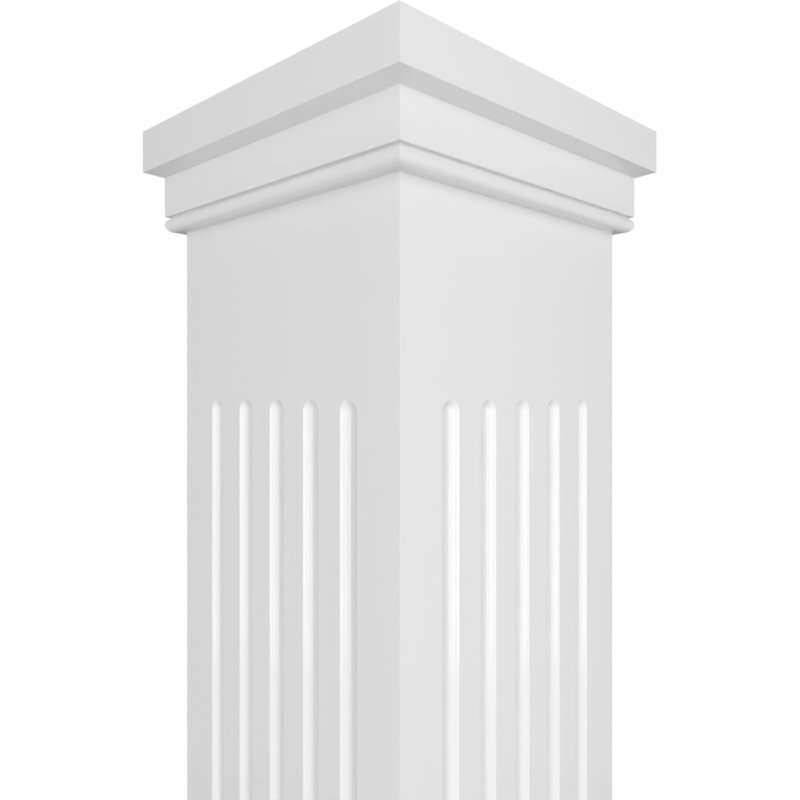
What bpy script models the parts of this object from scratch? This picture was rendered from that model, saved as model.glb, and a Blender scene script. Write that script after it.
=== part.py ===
"""Square fluted porch column: a hollow casing of mitred boards with a moulded capital and a plain base.

Metres, +Z up. The origin is at the middle of the underside, and the four faces look along -Y, +X, +Y and -X.
Every course is four mitred lengths round the centre line. A course's profile is a list of points, each with its
distance out from the centre line and its height, and it runs along one side between two 45 degree mitres.
"""

import math

import bmesh
import bpy

INCH = 0.0254

# Whole column
COLUMN_HEIGHT = 96.0 * INCH
GAP = 0.0003

# Shaft
SHAFT_WIDTH = 9.625 * INCH
SHAFT_BOARD_THICKNESS = 0.5 * INCH

# Flutes, the same on all four faces
FLUTE_COUNT = 5
FLUTE_PITCH = 1.5 * INCH
FLUTE_WIDTH = 0.625 * INCH
FLUTE_DEPTH = 0.14 * INCH
FLUTE_STOP_BELOW_CAPITAL = 5.34 * INCH
FLUTE_STOP_ABOVE_BASE = 5.34 * INCH

# Capital, from the top down
ABACUS_HEIGHT = 1.5 * INCH
ABACUS_PROJECTION = 1.0 * INCH
ABACUS_BEVEL_RISE = 0.1875 * INCH
FRIEZE_HEIGHT = 1.25 * INCH
FRIEZE_PROJECTION = 0.5 * INCH
BEAD_HEIGHT = 0.5 * INCH
BEAD_PROJECTION = 0.5 * INCH

# Base, from the bottom up
PLINTH_HEIGHT = 5.5 * INCH
PLINTH_PROJECTION = 1.0 * INCH
PLINTH_BEVEL_DROP = 0.1875 * INCH
BASE_BEAD_HEIGHT = 0.5 * INCH
BASE_BEAD_PROJECTION = 0.5 * INCH

# Facets: sides of the round cutter, its rings from the widest to the pole, and steps over a bead's nose
CUTTER_SIDES = 30
CUTTER_END_RINGS = 8
BEAD_STEPS = 10

# White board with a satin face
WHITE = (0.86, 0.86, 0.86, 1.0)
ROUGHNESS = 0.42
SHARP_ANGLE = math.radians(30.0)

# Levels and half widths worked out from the sizes above
SHAFT_HALF = SHAFT_WIDTH / 2
TRIM_INSIDE = SHAFT_HALF + GAP
ABACUS_FOOT = COLUMN_HEIGHT - ABACUS_HEIGHT
FRIEZE_FOOT = ABACUS_FOOT - FRIEZE_HEIGHT
CAPITAL_FOOT = FRIEZE_FOOT - BEAD_HEIGHT
BASE_HEAD = PLINTH_HEIGHT + BASE_BEAD_HEIGHT

# Each side's name and its turn about +Z from the front, in degrees
SIDES = {"front": 0.0, "right": 90.0, "back": 180.0, "left": 270.0}


def clear_scene():
    for obj in list(bpy.data.objects):
        bpy.data.objects.remove(obj, do_unlink=True)


def white_board_material(name):
    material = bpy.data.materials.new(name)
    material.use_nodes = True
    shader = material.node_tree.nodes["Principled BSDF"]
    shader.inputs["Base Color"].default_value = WHITE
    shader.inputs["Roughness"].default_value = ROUGHNESS
    shader.inputs["Metallic"].default_value = 0.0
    material.diffuse_color = WHITE
    return material


def mesh_from(bm, name):
    """The bmesh as a mesh, with its faces turned outward."""
    bmesh.ops.recalc_face_normals(bm, faces=bm.faces)
    mesh = bpy.data.meshes.new(name)
    bm.to_mesh(mesh)
    bm.free()
    return mesh


def mitred_length(name, profile):
    """The front side's length of a course, between two mitres that each stop half a gap short of the corner."""
    mitre_clearance = GAP / math.sqrt(2)
    bm = bmesh.new()
    ends = []
    for hand in (-1, 1):
        ends.append([bm.verts.new((hand * (out - mitre_clearance), -out, height)) for out, height in profile])
    left_end, right_end = ends
    bm.faces.new(left_end)
    bm.faces.new(right_end)
    for i in range(len(profile)):
        j = (i + 1) % len(profile)
        bm.faces.new((left_end[i], left_end[j], right_end[j], right_end[i]))
    return mesh_from(bm, name)


def board_profile(inside, outside, foot, head):
    return [(inside, foot), (outside, foot), (outside, head), (inside, head)]


def abacus_profile():
    """The abacus: its underside is level over the frieze and rises towards its outer edge."""
    outside = SHAFT_HALF + ABACUS_PROJECTION
    return [
        (TRIM_INSIDE, ABACUS_FOOT),
        (SHAFT_HALF + FRIEZE_PROJECTION, ABACUS_FOOT),
        (outside, ABACUS_FOOT + ABACUS_BEVEL_RISE),
        (outside, COLUMN_HEIGHT),
        (TRIM_INSIDE, COLUMN_HEIGHT),
    ]


def plinth_profile():
    """The plinth: its top is level under the base bead and falls towards its outer edge, to shed water."""
    outside = SHAFT_HALF + PLINTH_PROJECTION
    return [
        (TRIM_INSIDE, 0.0),
        (outside, 0.0),
        (outside, PLINTH_HEIGHT - PLINTH_BEVEL_DROP),
        (SHAFT_HALF + BASE_BEAD_PROJECTION, PLINTH_HEIGHT),
        (TRIM_INSIDE, PLINTH_HEIGHT),
    ]


def bullnose_profile(projection, foot, head):
    """A bead: flat above and below, with a half circle as high as the bead for its nose."""
    radius = (head - foot) / 2
    nose_out = SHAFT_HALF + projection - radius
    points = [(TRIM_INSIDE, foot)]
    for step in range(BEAD_STEPS + 1):
        turn = math.pi * step / BEAD_STEPS
        points.append((nose_out + radius * math.sin(turn), foot + radius - radius * math.cos(turn)))
    points.append((TRIM_INSIDE, head))
    return points


def flute_cutter_mesh(radius):
    """An upright capsule as long as a flute, which cuts a round groove with ball-shaped ends.

    Its two end centres are half a flute's width inside the tips, so that the tips come to their stated levels.
    """
    low_centre = BASE_HEAD + FLUTE_STOP_ABOVE_BASE + FLUTE_WIDTH / 2
    high_centre = CAPITAL_FOOT - FLUTE_STOP_BELOW_CAPITAL - FLUTE_WIDTH / 2
    turns = [math.pi / 2 * ring / CUTTER_END_RINGS for ring in range(CUTTER_END_RINGS + 1)]
    low_half = [(radius * math.cos(turn), low_centre - radius * math.sin(turn)) for turn in reversed(turns)]
    high_half = [(radius * math.cos(turn), high_centre + radius * math.sin(turn)) for turn in turns]
    bm = bmesh.new()
    outline = [bm.verts.new((0.0, out, height)) for out, height in low_half + high_half]
    edges = [bm.edges.new(pair) for pair in zip(outline, outline[1:])]
    bmesh.ops.spin(
        bm, geom=outline + edges, cent=(0, 0, 0), axis=(0, 0, 1), angle=2 * math.pi, steps=CUTTER_SIDES
    )
    bmesh.ops.remove_doubles(bm, verts=bm.verts, dist=1e-6)
    mesh = mesh_from(bm, "flute_cutter")
    mesh.shade_smooth()
    return mesh


def cut_flutes(board, cutter_mesh, radius):
    """Cuts a row of flutes, centred on the board's face. Each cutter's axis stands in front of that face."""
    axis_y = -SHAFT_HALF - (radius - FLUTE_DEPTH)
    for number in range(FLUTE_COUNT):
        cutter = bpy.data.objects.new(f"{board.name}_cutter_{number + 1}", cutter_mesh)
        bpy.context.scene.collection.objects.link(cutter)
        cutter.parent = board
        cutter.location = ((number - (FLUTE_COUNT - 1) / 2) * FLUTE_PITCH, axis_y, 0.0)
        cutter.hide_render = True
        cutter.display_type = "WIRE"
        modifier = board.modifiers.new(f"flute_{number + 1}", "BOOLEAN")
        modifier.operation = "DIFFERENCE"
        modifier.solver = "EXACT"
        modifier.object = cutter


def place_course(column, name, profile):
    """Sets the four mitred lengths of a course round the column and returns them."""
    mesh = mitred_length(name, profile)
    mesh.materials.append(white_board_material(name))
    lengths = []
    for side, turn in SIDES.items():
        length = bpy.data.objects.new(f"{name}_{side}", mesh)
        bpy.context.scene.collection.objects.link(length)
        length.parent = column
        length.rotation_euler.z = math.radians(turn)
        lengths.append(length)
    return lengths


def shade_round(lengths):
    """Smooths the shading over a bead's nose and keeps its other edges crisp."""
    mesh = lengths[0].data
    mesh.shade_smooth()
    mesh.set_sharp_from_angle(angle=SHARP_ANGLE)


def build_shaft(column):
    boards = place_course(
        column,
        "shaft_board",
        board_profile(SHAFT_HALF - SHAFT_BOARD_THICKNESS, SHAFT_HALF, 0.0, COLUMN_HEIGHT),
    )
    radius = (FLUTE_WIDTH ** 2 / 4 + FLUTE_DEPTH ** 2) / (2 * FLUTE_DEPTH)
    cutter_mesh = flute_cutter_mesh(radius)
    for board in boards:
        cut_flutes(board, cutter_mesh, radius)


def build_capital(column):
    place_course(column, "abacus_board", abacus_profile())
    place_course(
        column,
        "frieze_board",
        board_profile(TRIM_INSIDE, SHAFT_HALF + FRIEZE_PROJECTION, FRIEZE_FOOT, ABACUS_FOOT - GAP),
    )
    shade_round(place_course(column, "bead", bullnose_profile(BEAD_PROJECTION, CAPITAL_FOOT, FRIEZE_FOOT - GAP)))


def build_base(column):
    place_course(column, "plinth_board", plinth_profile())
    shade_round(
        place_course(
            column, "base_bead", bullnose_profile(BASE_BEAD_PROJECTION, PLINTH_HEIGHT + GAP, BASE_HEAD)
        )
    )


def main():
    clear_scene()
    column = bpy.data.objects.new("column", None)
    bpy.context.scene.collection.objects.link(column)
    build_shaft(column)
    build_capital(column)
    build_base(column)


main()
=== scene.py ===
# %% [markdown]
# # A fluted square porch column in white board
#
# The real column is a casing. Four long boards are mitred into a square tube that goes round a plain post,
# and lengths of moulding are wrapped round its head and foot. Everything is smooth, white and a little
# glossy, so the picture is made of shape and soft light alone: crisp arrises, bright hollow flutes and a
# shaded capital.
#
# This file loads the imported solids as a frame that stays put. Then it makes a finer board for each of them,
# gives every board a procedural finish, and sets up a small studio.

# %% Load the frame and keep its box
import math

import bmesh
import bpy
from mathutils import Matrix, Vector


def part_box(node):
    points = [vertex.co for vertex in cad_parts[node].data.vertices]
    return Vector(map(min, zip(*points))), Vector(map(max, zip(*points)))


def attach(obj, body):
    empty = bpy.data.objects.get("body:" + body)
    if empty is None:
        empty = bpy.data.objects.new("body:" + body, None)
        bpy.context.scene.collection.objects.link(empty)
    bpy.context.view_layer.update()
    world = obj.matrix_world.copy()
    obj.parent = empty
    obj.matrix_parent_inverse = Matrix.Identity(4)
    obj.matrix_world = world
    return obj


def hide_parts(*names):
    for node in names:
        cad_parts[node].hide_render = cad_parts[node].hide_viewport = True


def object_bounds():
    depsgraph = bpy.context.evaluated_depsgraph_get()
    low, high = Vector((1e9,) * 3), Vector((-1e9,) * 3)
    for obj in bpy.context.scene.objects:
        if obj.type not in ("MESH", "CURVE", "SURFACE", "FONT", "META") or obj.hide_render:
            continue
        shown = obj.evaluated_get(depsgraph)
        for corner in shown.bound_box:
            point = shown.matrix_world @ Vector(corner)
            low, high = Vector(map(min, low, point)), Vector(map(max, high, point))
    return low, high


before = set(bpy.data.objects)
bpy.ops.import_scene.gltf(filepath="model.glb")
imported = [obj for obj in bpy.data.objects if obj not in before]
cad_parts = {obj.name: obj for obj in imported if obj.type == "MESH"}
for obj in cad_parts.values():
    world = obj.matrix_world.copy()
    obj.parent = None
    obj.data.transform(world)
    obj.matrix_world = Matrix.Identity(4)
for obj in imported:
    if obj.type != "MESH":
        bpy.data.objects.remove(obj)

cad_box = [list(corner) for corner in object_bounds()]
print("solids:", len(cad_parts), "height", round(cad_box[1][2], 4), "m")

# %% [markdown]
# ## The camera
#
# The photograph looks level at the column's front arris, from about arm's length, with the column's head at
# the top of the picture. A camera could be set by eye, but the lines of a square column give it exactly: all
# level edges on the left run to one vanishing point and all on the right to another. Their places give the
# lens, and the slopes near the arris give the distance and the height. The horizon falls a hair above the
# middle of the picture, which is the small vertical shift.

# %% Camera on the column's diagonal
COLUMN_TOP = cad_box[1][2]
CAMERA_SWING = math.radians(45.0)
CAMERA_DISTANCE = 0.6325
CAMERA_BELOW_TOP = 0.2169
LENS_MM = 35.0
SENSOR_MM = 36.0
PICTURE_SIDE = 800
ARRIS_PIXEL_X = 399.6
HORIZON_PIXEL_Y = 398.2
NEAREST_SEEN = 0.01


def make_camera():
    lens = bpy.data.cameras.new("camera")
    lens.lens = LENS_MM
    lens.sensor_width = SENSOR_MM
    lens.clip_start = NEAREST_SEEN
    lens.shift_x = (PICTURE_SIDE / 2 - ARRIS_PIXEL_X) / PICTURE_SIDE
    lens.shift_y = (HORIZON_PIXEL_Y - PICTURE_SIDE / 2) / PICTURE_SIDE
    camera = bpy.data.objects.new("camera", lens)
    bpy.context.scene.collection.objects.link(camera)
    camera.location = (
        CAMERA_DISTANCE * math.sin(CAMERA_SWING),
        -CAMERA_DISTANCE * math.cos(CAMERA_SWING),
        COLUMN_TOP - CAMERA_BELOW_TOP,
    )
    camera.rotation_euler = (math.radians(90.0), 0.0, CAMERA_SWING)
    bpy.context.scene.camera = camera
    return camera


camera = make_camera()
print("camera at", [round(value, 3) for value in camera.location])

# %% [markdown]
# ## Sizes
#
# A board that replaces a solid has to sit exactly where the solid is. Its outside sizes are read from the
# solids' boxes and not typed again, so that a change to the column carries through. What a box can't tell,
# such as a bevel or a flute's depth, is a named value here, in metres. The solids stop 0.3 mm short of each
# other so that they never overlap; the real boards are glued and caulked tight, so each fine board runs on to
# its neighbour.

# %% Sizes read from the frame
INCH = 0.0254


def out_and_level(course):
    """How far a course reaches out from the centre line, inside and outside, and its foot and head."""
    low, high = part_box(course + "_front")
    return -high.y, -low.y, low.z, high.z


SHAFT_INSIDE, SHAFT_HALF, SHAFT_FOOT, SHAFT_HEAD = out_and_level("shaft_board")
_, ABACUS_OUT, ABACUS_FOOT, ABACUS_HEAD = out_and_level("abacus_board")
_, FRIEZE_OUT, FRIEZE_FOOT, _ = out_and_level("frieze_board")
_, BEAD_OUT, BEAD_FOOT, _ = out_and_level("bead")
_, PLINTH_OUT, PLINTH_FOOT, PLINTH_HEAD = out_and_level("plinth_board")
_, BASE_BEAD_OUT, _, BASE_BEAD_HEAD = out_and_level("base_bead")
print("shaft", round(2 * SHAFT_HALF / INCH, 3), "in, abacus", round(2 * ABACUS_OUT / INCH, 3), "in wide")

# %% Sizes that a box can't tell
ABACUS_BEVEL_RISE = 0.1875 * INCH
PLINTH_BEVEL_DROP = 0.1875 * INCH
ARRIS_EASE = 0.0004
FLUTE_COUNT = 5
FLUTE_PITCH = 1.5 * INCH
FLUTE_WIDTH = 0.625 * INCH
FLUTE_DEPTH = 0.14 * INCH
FLUTE_STOP_BELOW_CAPITAL = 5.34 * INCH
FLUTE_STOP_ABOVE_BASE = 5.34 * INCH
FLUTE_SIDE_EASE = 0.0003
FLUTE_TIP_EASE = 0.003
SIDES = {"front": 0.0, "right": 90.0, "back": 180.0, "left": 270.0}

# %% [markdown]
# ## The finish
#
# The board is white cellular PVC: dense and smooth, with no grain, and with a skin just glossy enough to
# mirror a lamp as a soft streak. From arm's length it looks plain, yet a single flat colour would look like
# paper. Real sheet has a faint cloudiness in its white, a gloss that drifts a little from place to place, and
# very shallow ripples along the length that it was extruded in. An image could hold all that, but noise
# textures give it at any scale and need no unwrapping.
#
# All boards share the effect, so it is a node group with named inputs: the group gives out a colour, a
# roughness and a height, and each material sets its own values and keeps its own shader.

# %% Node group for the skin of extruded board
def add_socket(group, name, kind, direction, value=None):
    socket = group.interface.new_socket(name=name, in_out=direction, socket_type="NodeSocket" + kind)
    if value is not None:
        socket.default_value = value
    return socket


def noise(group, vector, scale, detail, place):
    node = group.nodes.new("ShaderNodeTexNoise")
    node.location = place
    node.inputs["Detail"].default_value = detail
    group.links.new(vector, node.inputs["Vector"])
    group.links.new(scale, node.inputs["Scale"])
    return node.outputs["Fac"]


def spread(group, factor, centre, amount, place):
    """Makes a noise that runs about 0.5 run about a centre instead, by half of the amount either way."""
    swing = group.nodes.new("ShaderNodeMath")
    swing.operation = "SUBTRACT"
    swing.location = place
    group.links.new(factor, swing.inputs[0])
    swing.inputs[1].default_value = 0.5
    scaled = group.nodes.new("ShaderNodeMath")
    scaled.operation = "MULTIPLY_ADD"
    scaled.location = (place[0] + 180, place[1])
    group.links.new(swing.outputs[0], scaled.inputs[0])
    group.links.new(amount, scaled.inputs[1])
    group.links.new(centre, scaled.inputs[2])
    return scaled.outputs[0]


def make_board_skin():
    group = bpy.data.node_groups.new("extruded board skin", "ShaderNodeTree")
    add_socket(group, "Vector", "Vector", "INPUT")
    add_socket(group, "White", "Float", "INPUT", 0.8)
    add_socket(group, "Cloud Amount", "Float", "INPUT", 0.01)
    add_socket(group, "Cloud Scale", "Float", "INPUT", 18.0)
    add_socket(group, "Gloss Centre", "Float", "INPUT", 0.3)
    add_socket(group, "Gloss Drift", "Float", "INPUT", 0.05)
    add_socket(group, "Gloss Scale", "Float", "INPUT", 60.0)
    add_socket(group, "Ripple Scale", "Float", "INPUT", 400.0)
    add_socket(group, "Color", "Color", "OUTPUT")
    add_socket(group, "Roughness", "Float", "OUTPUT")
    add_socket(group, "Height", "Float", "OUTPUT")
    source = group.nodes.new("NodeGroupInput")
    source.location = (-700, 0)
    result = group.nodes.new("NodeGroupOutput")
    result.location = (500, 0)
    vector = source.outputs["Vector"]
    cloud = noise(group, vector, source.outputs["Cloud Scale"], 3.0, (-450, 250))
    white = spread(group, cloud, source.outputs["White"], source.outputs["Cloud Amount"], (-230, 250))
    tone = group.nodes.new("ShaderNodeCombineColor")
    tone.location = (200, 250)
    for channel in ("Red", "Green", "Blue"):
        group.links.new(white, tone.inputs[channel])
    group.links.new(tone.outputs["Color"], result.inputs["Color"])
    gloss = noise(group, vector, source.outputs["Gloss Scale"], 4.0, (-450, 0))
    roughness = spread(
        group, gloss, source.outputs["Gloss Centre"], source.outputs["Gloss Drift"], (-230, 0)
    )
    group.links.new(roughness, result.inputs["Roughness"])
    ripple = noise(group, vector, source.outputs["Ripple Scale"], 2.0, (-450, -250))
    group.links.new(ripple, result.inputs["Height"])
    return group


board_skin = make_board_skin()
print("node group", board_skin.name, "with", len(board_skin.nodes), "nodes")

# %% [markdown]
# ## One material for each kind of board
#
# Ripples and clouds run with a board's length, so each material draws the pattern out along that length: up
# the shaft, and along a moulding. Each board is drawn on the front side and turned into place, so its own
# object coordinates always have X along the moulding and Z up. A number from the object's name shifts the
# pattern, so that the four sides of the column aren't copies.

# %% Board materials
WHITE = 0.84
GLOSS_CENTRE = 0.12
SPECULAR_IOR = 1.5
LENGTHWAYS = 0.12
RIPPLE_DEPTH = 0.00002
RIPPLE_STRENGTH = 0.3
PATTERN_SHIFT = 7.0


def board_material(name, stretch):
    """White board whose pattern is drawn out along one axis; stretch is the pattern's scale on X, Y and Z."""
    material = bpy.data.materials.new(name)
    material.use_nodes = True
    nodes = material.node_tree.nodes
    links = material.node_tree.links
    shader = nodes["Principled BSDF"]
    shader.inputs["IOR"].default_value = SPECULAR_IOR
    shader.inputs["Metallic"].default_value = 0.0
    place = nodes.new("ShaderNodeTexCoord")
    place.location = (-1100, 0)
    who = nodes.new("ShaderNodeObjectInfo")
    who.location = (-1100, -300)
    shift = nodes.new("ShaderNodeVectorMath")
    shift.operation = "MULTIPLY_ADD"
    shift.location = (-900, 0)
    shift.inputs[1].default_value = stretch
    offset = nodes.new("ShaderNodeMath")
    offset.operation = "MULTIPLY"
    offset.location = (-900, -300)
    offset.inputs[1].default_value = PATTERN_SHIFT
    links.new(who.outputs["Random"], offset.inputs[0])
    links.new(place.outputs["Object"], shift.inputs[0])
    links.new(offset.outputs[0], shift.inputs[2])
    skin = nodes.new("ShaderNodeGroup")
    skin.node_tree = board_skin
    skin.location = (-650, 0)
    skin.inputs["White"].default_value = WHITE
    skin.inputs["Gloss Centre"].default_value = GLOSS_CENTRE
    links.new(shift.outputs["Vector"], skin.inputs["Vector"])
    bump = nodes.new("ShaderNodeBump")
    bump.location = (-350, -250)
    bump.inputs["Strength"].default_value = RIPPLE_STRENGTH
    bump.inputs["Distance"].default_value = RIPPLE_DEPTH
    links.new(skin.outputs["Height"], bump.inputs["Height"])
    links.new(skin.outputs["Color"], shader.inputs["Base Color"])
    links.new(skin.outputs["Roughness"], shader.inputs["Roughness"])
    links.new(bump.outputs["Normal"], shader.inputs["Normal"])
    return material


UPRIGHT = (1.0, 1.0, LENGTHWAYS)
ALONG = (LENGTHWAYS, 1.0, 1.0)
materials = {
    "shaft_board": board_material("shaft white board", UPRIGHT),
    "abacus_board": board_material("abacus white board", ALONG),
    "frieze_board": board_material("frieze white board", ALONG),
    "bead": board_material("bead white moulding", ALONG),
    "plinth_board": board_material("plinth white board", ALONG),
    "base_bead": board_material("base bead white moulding", ALONG),
}
print("materials:", ", ".join(material.name for material in materials.values()))

# %% [markdown]
# ## A profile with eased edges
#
# No sawn edge is truly sharp: a pass of sandpaper rounds it by a few tenths of a millimetre, and that is what
# catches the light. A Bevel modifier could round the finished boards, but it would round the mitres too, and
# those stay tight. So the rounding is drawn into the profile, before it becomes a board, and each corner has
# its own radius. Every point keeps the number of the arc that it belongs to, so that arcs can be shaded
# smooth while the flats between them stay flat.

# %% Rounding the corners of an outline
EASE_STEPS = 4


def rounded_outline(corners):
    """Corners are (out, level, radius, steps). Returns the points and, for each, its arc's number or None."""
    points = []
    arcs = []
    for i, (out, level, radius, steps) in enumerate(corners):
        corner = Vector((out, level))
        if not radius:
            points.append(corner)
            arcs.append(None)
            continue
        back = (Vector(corners[i - 1][:2]) - corner).normalized()
        on = (Vector(corners[(i + 1) % len(corners)][:2]) - corner).normalized()
        half_angle = back.angle(on) / 2
        centre = corner + (back + on).normalized() * (radius / math.sin(half_angle))
        start = corner + back * (radius / math.tan(half_angle)) - centre
        turn = math.pi - 2 * half_angle
        if back.x * on.y - back.y * on.x > 0:
            turn = -turn
        for step in range(steps + 1):
            angle = turn * step / steps
            cosine, sine = math.cos(angle), math.sin(angle)
            spoke = Vector((start.x * cosine - start.y * sine, start.x * sine + start.y * cosine))
            points.append(centre + spoke)
            arcs.append(i)
    return points, arcs


# %% [markdown]
# ## A mitred length
#
# A moulding that turns a corner is cut at 45 degrees. On that cut, a point that lies further out from the
# wall also lies further along, by the same amount. So the two ends of a length are the profile itself, with
# each point moved along by its distance out, and the length is the skin between the two. Lofting it this way
# makes both mitres meet exactly, with no cutting.

# %% Drawing a mitred length on the front side
def mitred_mesh(name, outline):
    points, arcs = outline
    bm = bmesh.new()
    ends = [[bm.verts.new((hand * out, -out, level)) for out, level in points] for hand in (-1, 1)]
    left_end, right_end = ends
    bm.faces.new(left_end)
    bm.faces.new(right_end)
    for i in range(len(points)):
        j = (i + 1) % len(points)
        face = bm.faces.new((left_end[i], left_end[j], right_end[j], right_end[i]))
        face.smooth = arcs[i] is not None and arcs[i] == arcs[j]
    return finished_mesh(bm, name)


def finished_mesh(bm, name):
    """Turns the faces outward, marks the edges of flat faces as sharp, and checks that the skin is closed."""
    bmesh.ops.recalc_face_normals(bm, faces=bm.faces)
    for edge in bm.edges:
        edge.smooth = all(face.smooth for face in edge.link_faces)
    open_edges = [edge for edge in bm.edges if len(edge.link_faces) != 2]
    if open_edges:
        raise ValueError(f"{name} has {len(open_edges)} open edges")
    mesh = bpy.data.meshes.new(name)
    bm.to_mesh(mesh)
    bm.free()
    return mesh


# %% [markdown]
# ## A fluted board
#
# A flute is routed with a round-nosed cutter that is plunged in, run along and lifted out. At any point its
# depth depends only on how far that point is from the cutter's straight path, along the sides and round the
# two ends alike. A Boolean with a capsule gives the same shape but leaves ragged slivers. Here the flute is a
# nest of stadium-shaped rings, each a little nearer to the path and a little deeper, which gives clean bands
# of faces.
#
# Its rim is crisp along the sides, where the cutter ran straight, and much softer at the two tips, where it
# went in and out and a hand sanded after it. So there are two sections, and the rings pass from one to the
# other round each end. The higher the power in that change, the nearer to the very tip the soft rim stays.

# %% The section of a flute, from its rim to its middle
RIM_STEPS = 4
GROOVE_STEPS = 16


def flute_section(ease):
    """Points of (distance from the path, depth) for a rim eased by a radius. The last lies on the path."""
    radius = (FLUTE_WIDTH ** 2 / 4 + FLUTE_DEPTH ** 2) / (2 * FLUTE_DEPTH)
    above = radius - FLUTE_DEPTH
    rim_centre = math.sqrt((radius + ease) ** 2 - (ease + above) ** 2)
    slope = math.atan2(rim_centre, ease + above)
    section = []
    for step in range(RIM_STEPS + 1):
        angle = slope * step / RIM_STEPS
        section.append((rim_centre - ease * math.sin(angle), ease - ease * math.cos(angle)))
    for step in range(1, GROOVE_STEPS + 1):
        angle = slope * (1 - step / GROOVE_STEPS)
        section.append((radius * math.sin(angle), radius * math.cos(angle) - above))
    return section


side_section = flute_section(FLUTE_SIDE_EASE)
tip_section = flute_section(FLUTE_TIP_EASE)
for where, section in (("side", side_section), ("tip", tip_section)):
    reach, depth = section[0][0] * 1000, section[-1][1] * 1000
    print(where, "rim", round(reach, 2), "mm from the path,", round(depth, 2), "mm deep")

# %% Cutting one flute as nested rings
END_STEPS = 24
TIP_FOCUS = 4


def flute_ring(centre_x, foot, head, side, tip):
    """One ring round the upright path, from its (distance, depth) at the sides and at the tips."""
    points = []
    for level, start in ((foot, math.pi), (head, 0.0)):
        for step in range(END_STEPS + 1):
            angle = start + math.pi * step / END_STEPS
            share = math.sin(angle) ** TIP_FOCUS
            reach = side[0] + (tip[0] - side[0]) * share
            depth = side[1] + (tip[1] - side[1]) * share
            across, along = reach * math.cos(angle), reach * math.sin(angle)
            points.append((centre_x + across, depth - SHAFT_HALF, level + along))
    return points


def add_flute(bm, centre_x, foot, head):
    """Adds the flute's skin and returns the edges of its rim."""
    rings = []
    for side, tip in zip(side_section[:-1], tip_section[:-1]):
        rings.append([bm.verts.new(point) for point in flute_ring(centre_x, foot, head, side, tip)])
    bottom = FLUTE_DEPTH - SHAFT_HALF
    path = [bm.verts.new((centre_x, bottom, level)) for level in (foot, head)]
    count = len(rings[0])
    for outer, inner in zip(rings, rings[1:]):
        for i in range(count):
            j = (i + 1) % count
            bm.faces.new((outer[i], outer[j], inner[j], inner[i])).smooth = True
    last = rings[-1]
    for i in range(count):
        j = (i + 1) % count
        ends = (path[i // (END_STEPS + 1)], path[j // (END_STEPS + 1)])
        corners = [last[i], last[j], ends[1]] + ([ends[0]] if ends[0] is not ends[1] else [])
        bm.faces.new(corners).smooth = True
    rim = rings[0]
    return [bm.edges.get((rim[i], rim[(i + 1) % count])) for i in range(count)]


# %% Drawing the whole board
def fluted_board_mesh(name):
    bm = bmesh.new()
    outer = []
    inner = []
    for hand, level in ((-1, SHAFT_FOOT), (1, SHAFT_FOOT), (1, SHAFT_HEAD), (-1, SHAFT_HEAD)):
        outer.append(bm.verts.new((hand * SHAFT_HALF, -SHAFT_HALF, level)))
        inner.append(bm.verts.new((hand * SHAFT_INSIDE, -SHAFT_INSIDE, level)))
    bm.faces.new(inner)
    face_edges = []
    for i in range(4):
        j = (i + 1) % 4
        bm.faces.new((outer[i], outer[j], inner[j], inner[i]))
        face_edges.append(bm.edges.get((outer[i], outer[j])))
    foot = BASE_BEAD_HEAD + FLUTE_STOP_ABOVE_BASE + FLUTE_WIDTH / 2
    head = BEAD_FOOT - FLUTE_STOP_BELOW_CAPITAL - FLUTE_WIDTH / 2
    for number in range(FLUTE_COUNT):
        centre_x = (number - (FLUTE_COUNT - 1) / 2) * FLUTE_PITCH
        face_edges += add_flute(bm, centre_x, foot, head)
    bmesh.ops.triangle_fill(bm, edges=face_edges, use_beauty=True)
    return finished_mesh(bm, name)


# %% [markdown]
# ## Putting the boards up
#
# Every course is the same length of board four times. Each fine board takes the place of one solid, rides on
# the column's only body and carries its own copy of the mesh, so that each can be exported by itself.

# %% Placing a course
def put_up(course, mesh):
    mesh.materials.append(materials[course])
    for side, turn in SIDES.items():
        board = bpy.data.objects.new(f"fine_{course}_{side}", mesh.copy())
        bpy.context.scene.collection.objects.link(board)
        board.rotation_euler.z = math.radians(turn)
        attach(board, "root")
        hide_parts(f"{course}_{side}")
    print(course, "x", len(SIDES), "with", len(mesh.polygons), "faces each")


# %% The fluted shaft
put_up("shaft_board", fluted_board_mesh("fine_shaft_board"))

# %% The abacus, with its bevelled underside
put_up("abacus_board", mitred_mesh("fine_abacus_board", rounded_outline([
    (SHAFT_HALF, ABACUS_FOOT, 0.0, 0),
    (FRIEZE_OUT, ABACUS_FOOT, 0.0, 0),
    (ABACUS_OUT, ABACUS_FOOT + ABACUS_BEVEL_RISE, ARRIS_EASE, EASE_STEPS),
    (ABACUS_OUT, ABACUS_HEAD, ARRIS_EASE, EASE_STEPS),
    (SHAFT_HALF, ABACUS_HEAD, 0.0, 0),
])))

# %% The frieze, a plain flat board
put_up("frieze_board", mitred_mesh("fine_frieze_board", rounded_outline([
    (SHAFT_HALF, FRIEZE_FOOT, 0.0, 0),
    (FRIEZE_OUT, FRIEZE_FOOT, ARRIS_EASE, EASE_STEPS),
    (FRIEZE_OUT, ABACUS_FOOT, 0.0, 0),
    (SHAFT_HALF, ABACUS_FOOT, 0.0, 0),
])))


# %% [markdown]
# ## The beads and their caulk
#
# A half-round bead against a flat board leaves a wedge that narrows to nothing. On a painted porch that wedge
# is never open: a finger's pull of caulk rounds it out. The round is drawn into the bead's own outline. Its
# circle touches both the nose and the board, and two right-angled triangles give its centre from the two
# radii.

# %% The two beads, each with a fully rounded nose
NOSE_STEPS = 28
CAULK_RADIUS = 0.0003
CAULK_STEPS = 8


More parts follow.
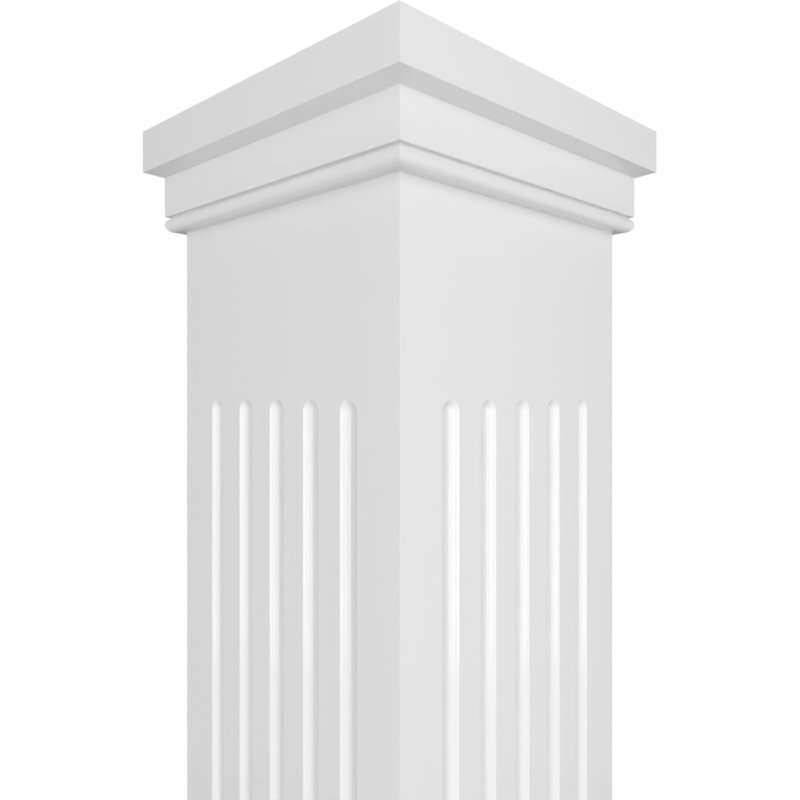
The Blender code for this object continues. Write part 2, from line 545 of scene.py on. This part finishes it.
def caulked_bead_outline(out, foot, head):
    """A full bullnose under a flat board, with the wedge between them rounded out by caulk."""
    radius = (head - foot) / 2
    centre = out - radius
    caulk_out = centre + 2 * math.sqrt(radius * CAULK_RADIUS)
    touch = math.pi - math.atan2(caulk_out - centre, radius - CAULK_RADIUS)
    points = [(SHAFT_HALF, foot)]
    arcs = [None]
    for step in range(NOSE_STEPS + 1):
        turn = touch * step / NOSE_STEPS
        points.append((centre + radius * math.sin(turn), foot + radius - radius * math.cos(turn)))
        arcs.append(0)
    for step in range(1, CAULK_STEPS + 1):
        turn = touch * (1 - step / CAULK_STEPS)
        reach = CAULK_RADIUS * math.sin(turn)
        points.append((caulk_out - reach, head - CAULK_RADIUS + CAULK_RADIUS * math.cos(turn)))
        arcs.append(0)
    points.append((SHAFT_HALF, head))
    arcs.append(None)
    return points, arcs


def upside_down(outline, foot, head):
    """The same outline with its top and bottom changed over between two levels."""
    points, arcs = outline
    return [(out, foot + head - level) for out, level in points], arcs


put_up("bead", mitred_mesh("fine_bead", caulked_bead_outline(BEAD_OUT, BEAD_FOOT, FRIEZE_FOOT)))
put_up("base_bead", mitred_mesh("fine_base_bead", upside_down(
    caulked_bead_outline(BASE_BEAD_OUT, PLINTH_HEAD, BASE_BEAD_HEAD), PLINTH_HEAD, BASE_BEAD_HEAD
)))

# %% The plinth, whose top edge falls outward to shed water
put_up("plinth_board", mitred_mesh("fine_plinth_board", rounded_outline([
    (SHAFT_HALF, PLINTH_FOOT, 0.0, 0),
    (PLINTH_OUT, PLINTH_FOOT, ARRIS_EASE, EASE_STEPS),
    (PLINTH_OUT, PLINTH_HEAD - PLINTH_BEVEL_DROP, ARRIS_EASE, EASE_STEPS),
    (BASE_BEAD_OUT, PLINTH_HEAD, 0.0, 0),
    (SHAFT_HALF, PLINTH_HEAD, 0.0, 0),
])))

# %% [markdown]
# ## The floor
#
# The photograph has no floor in view, only pure white. The floor here is a pale disc that ends before the
# level camera could see it, and whose rim melts into the white in the other views. The melting is in the
# material, by distance from the column.

# %% A pale floor that fades at its rim
FLOOR_RADIUS = 2.6
FLOOR_FADE_START = 0.5
FLOOR_WHITE = 0.86
FLOOR_ROUGHNESS = 0.8
FLOOR_SIDES = 128


def make_floor():
    bm = bmesh.new()
    bmesh.ops.create_circle(bm, cap_ends=True, segments=FLOOR_SIDES, radius=FLOOR_RADIUS)
    mesh = bpy.data.meshes.new("floor")
    bm.to_mesh(mesh)
    bm.free()
    floor = bpy.data.objects.new("floor", mesh)
    bpy.context.scene.collection.objects.link(floor)
    material = bpy.data.materials.new("pale floor")
    material.use_nodes = True
    nodes = material.node_tree.nodes
    links = material.node_tree.links
    shader = nodes["Principled BSDF"]
    shader.inputs["Base Color"].default_value = (FLOOR_WHITE, FLOOR_WHITE, FLOOR_WHITE, 1.0)
    shader.inputs["Roughness"].default_value = FLOOR_ROUGHNESS
    place = nodes.new("ShaderNodeTexCoord")
    distance = nodes.new("ShaderNodeVectorMath")
    distance.operation = "LENGTH"
    fade = nodes.new("ShaderNodeMapRange")
    fade.interpolation_type = "SMOOTHSTEP"
    fade.inputs["From Min"].default_value = FLOOR_FADE_START
    fade.inputs["From Max"].default_value = FLOOR_RADIUS
    fade.inputs["To Min"].default_value = 1.0
    fade.inputs["To Max"].default_value = 0.0
    links.new(place.outputs["Object"], distance.inputs[0])
    links.new(distance.outputs["Value"], fade.inputs["Value"])
    links.new(fade.outputs["Result"], shader.inputs["Alpha"])
    mesh.materials.append(material)
    return floor


floor = make_floor()
print("floor radius", FLOOR_RADIUS, "m")

# %% [markdown]
# ## The light
#
# The flutes tell where the light comes from. Each hollow turns through about a quarter circle, so it mirrors
# a wide part of the studio, squeezed into narrow upright streaks: three in each flute of a face. Every streak
# gives the angle of one strip light. The strips stand before two wide and dimmer walls of light, and all of
# these hang where the flutes mirror them to the camera. Two softboxes above them are the keys. They could be
# small and strong, but a glossy face would mirror them as glare in the views from the side, so they are wide
# and mild. The right key is the brighter, as the right face is, and low lights fill the undersides of the
# capital.
#
# One wide light serves the views from behind, high enough that no underside mirrors it to the camera. The
# background is pure white to the camera and gives little light.

# %% World: white to the camera, a faint light to all else
AMBIENT = 0.14


def make_world():
    world = bpy.data.worlds.new("studio")
    world.use_nodes = True
    nodes = world.node_tree.nodes
    links = world.node_tree.links
    around = nodes["Background"]
    around.inputs["Color"].default_value = (1.0, 1.0, 1.0, 1.0)
    around.inputs["Strength"].default_value = AMBIENT
    seen = nodes.new("ShaderNodeBackground")
    seen.inputs["Color"].default_value = (1.0, 1.0, 1.0, 1.0)
    seen.inputs["Strength"].default_value = 1.0
    path = nodes.new("ShaderNodeLightPath")
    choose = nodes.new("ShaderNodeMixShader")
    links.new(path.outputs["Is Camera Ray"], choose.inputs["Fac"])
    links.new(around.outputs["Background"], choose.inputs[1])
    links.new(seen.outputs["Background"], choose.inputs[2])
    links.new(choose.outputs["Shader"], nodes["World Output"].inputs["Surface"])
    bpy.context.scene.world = world
    return world


world = make_world()

# %% Softboxes in a ring about the column
RING_RADIUS = 3.0


def softbox(name, swing, width, foot, head, brightness):
    """An upright rectangle of light that faces the column's axis.

    Swing is its angle from the camera in degrees, and its width, foot and head are in metres. Brightness is
    how bright its face is, so that two boxes of one brightness look alike whatever their sizes.
    """
    height = head - foot
    lamp = bpy.data.lights.new(name, "AREA")
    lamp.shape = "RECTANGLE"
    lamp.size = width
    lamp.size_y = height
    lamp.energy = math.pi * width * height * brightness
    light = bpy.data.objects.new(name, lamp)
    bpy.context.scene.collection.objects.link(light)
    angle = CAMERA_SWING + math.radians(swing)
    light.location = (RING_RADIUS * math.sin(angle), -RING_RADIUS * math.cos(angle), (foot + head) / 2)
    light.rotation_euler = (math.radians(90.0), 0.0, angle)
    light.visible_camera = False
    return light


lights = [
    softbox("key_left", -13.0, 1.70, 2.3, 4.4, 1.1),
    softbox("key_right", 10.0, 2.50, 2.3, 4.4, 2.95),
    softbox("wall_left", -40.0, 2.60, 1.0, 2.3, 0.7),
    softbox("wall_right", 40.0, 2.60, 1.0, 2.3, 1.4),
    softbox("strip_left_near", -12.6, 0.36, 1.0, 2.3, 3.4),
    softbox("strip_left", -38.4, 0.36, 1.0, 2.3, 4.2),
    softbox("strip_left_far", -67.3, 0.36, 1.0, 2.3, 5.5),
    softbox("strip_right_near", 5.7, 0.36, 1.0, 2.3, 4.0),
    softbox("strip_right", 37.6, 0.36, 1.0, 2.3, 4.0),
    softbox("strip_right_far", 68.7, 0.36, 1.0, 2.3, 4.6),
    softbox("low_left", -55.0, 2.80, 0.2, 1.0, 1.1),
    softbox("low_right", 55.0, 2.80, 0.2, 1.0, 0.8),
    softbox("side_left", -105.0, 1.20, 0.6, 4.4, 0.15),
    softbox("side_right", 105.0, 1.20, 0.6, 4.4, 0.15),
    softbox("back", 180.0, 6.00, 2.6, 4.8, 3.4),
]
print("lights:", len(lights))

# %% Plain rendering of tones, so that white stays white
bpy.context.scene.view_settings.view_transform = "Standard"
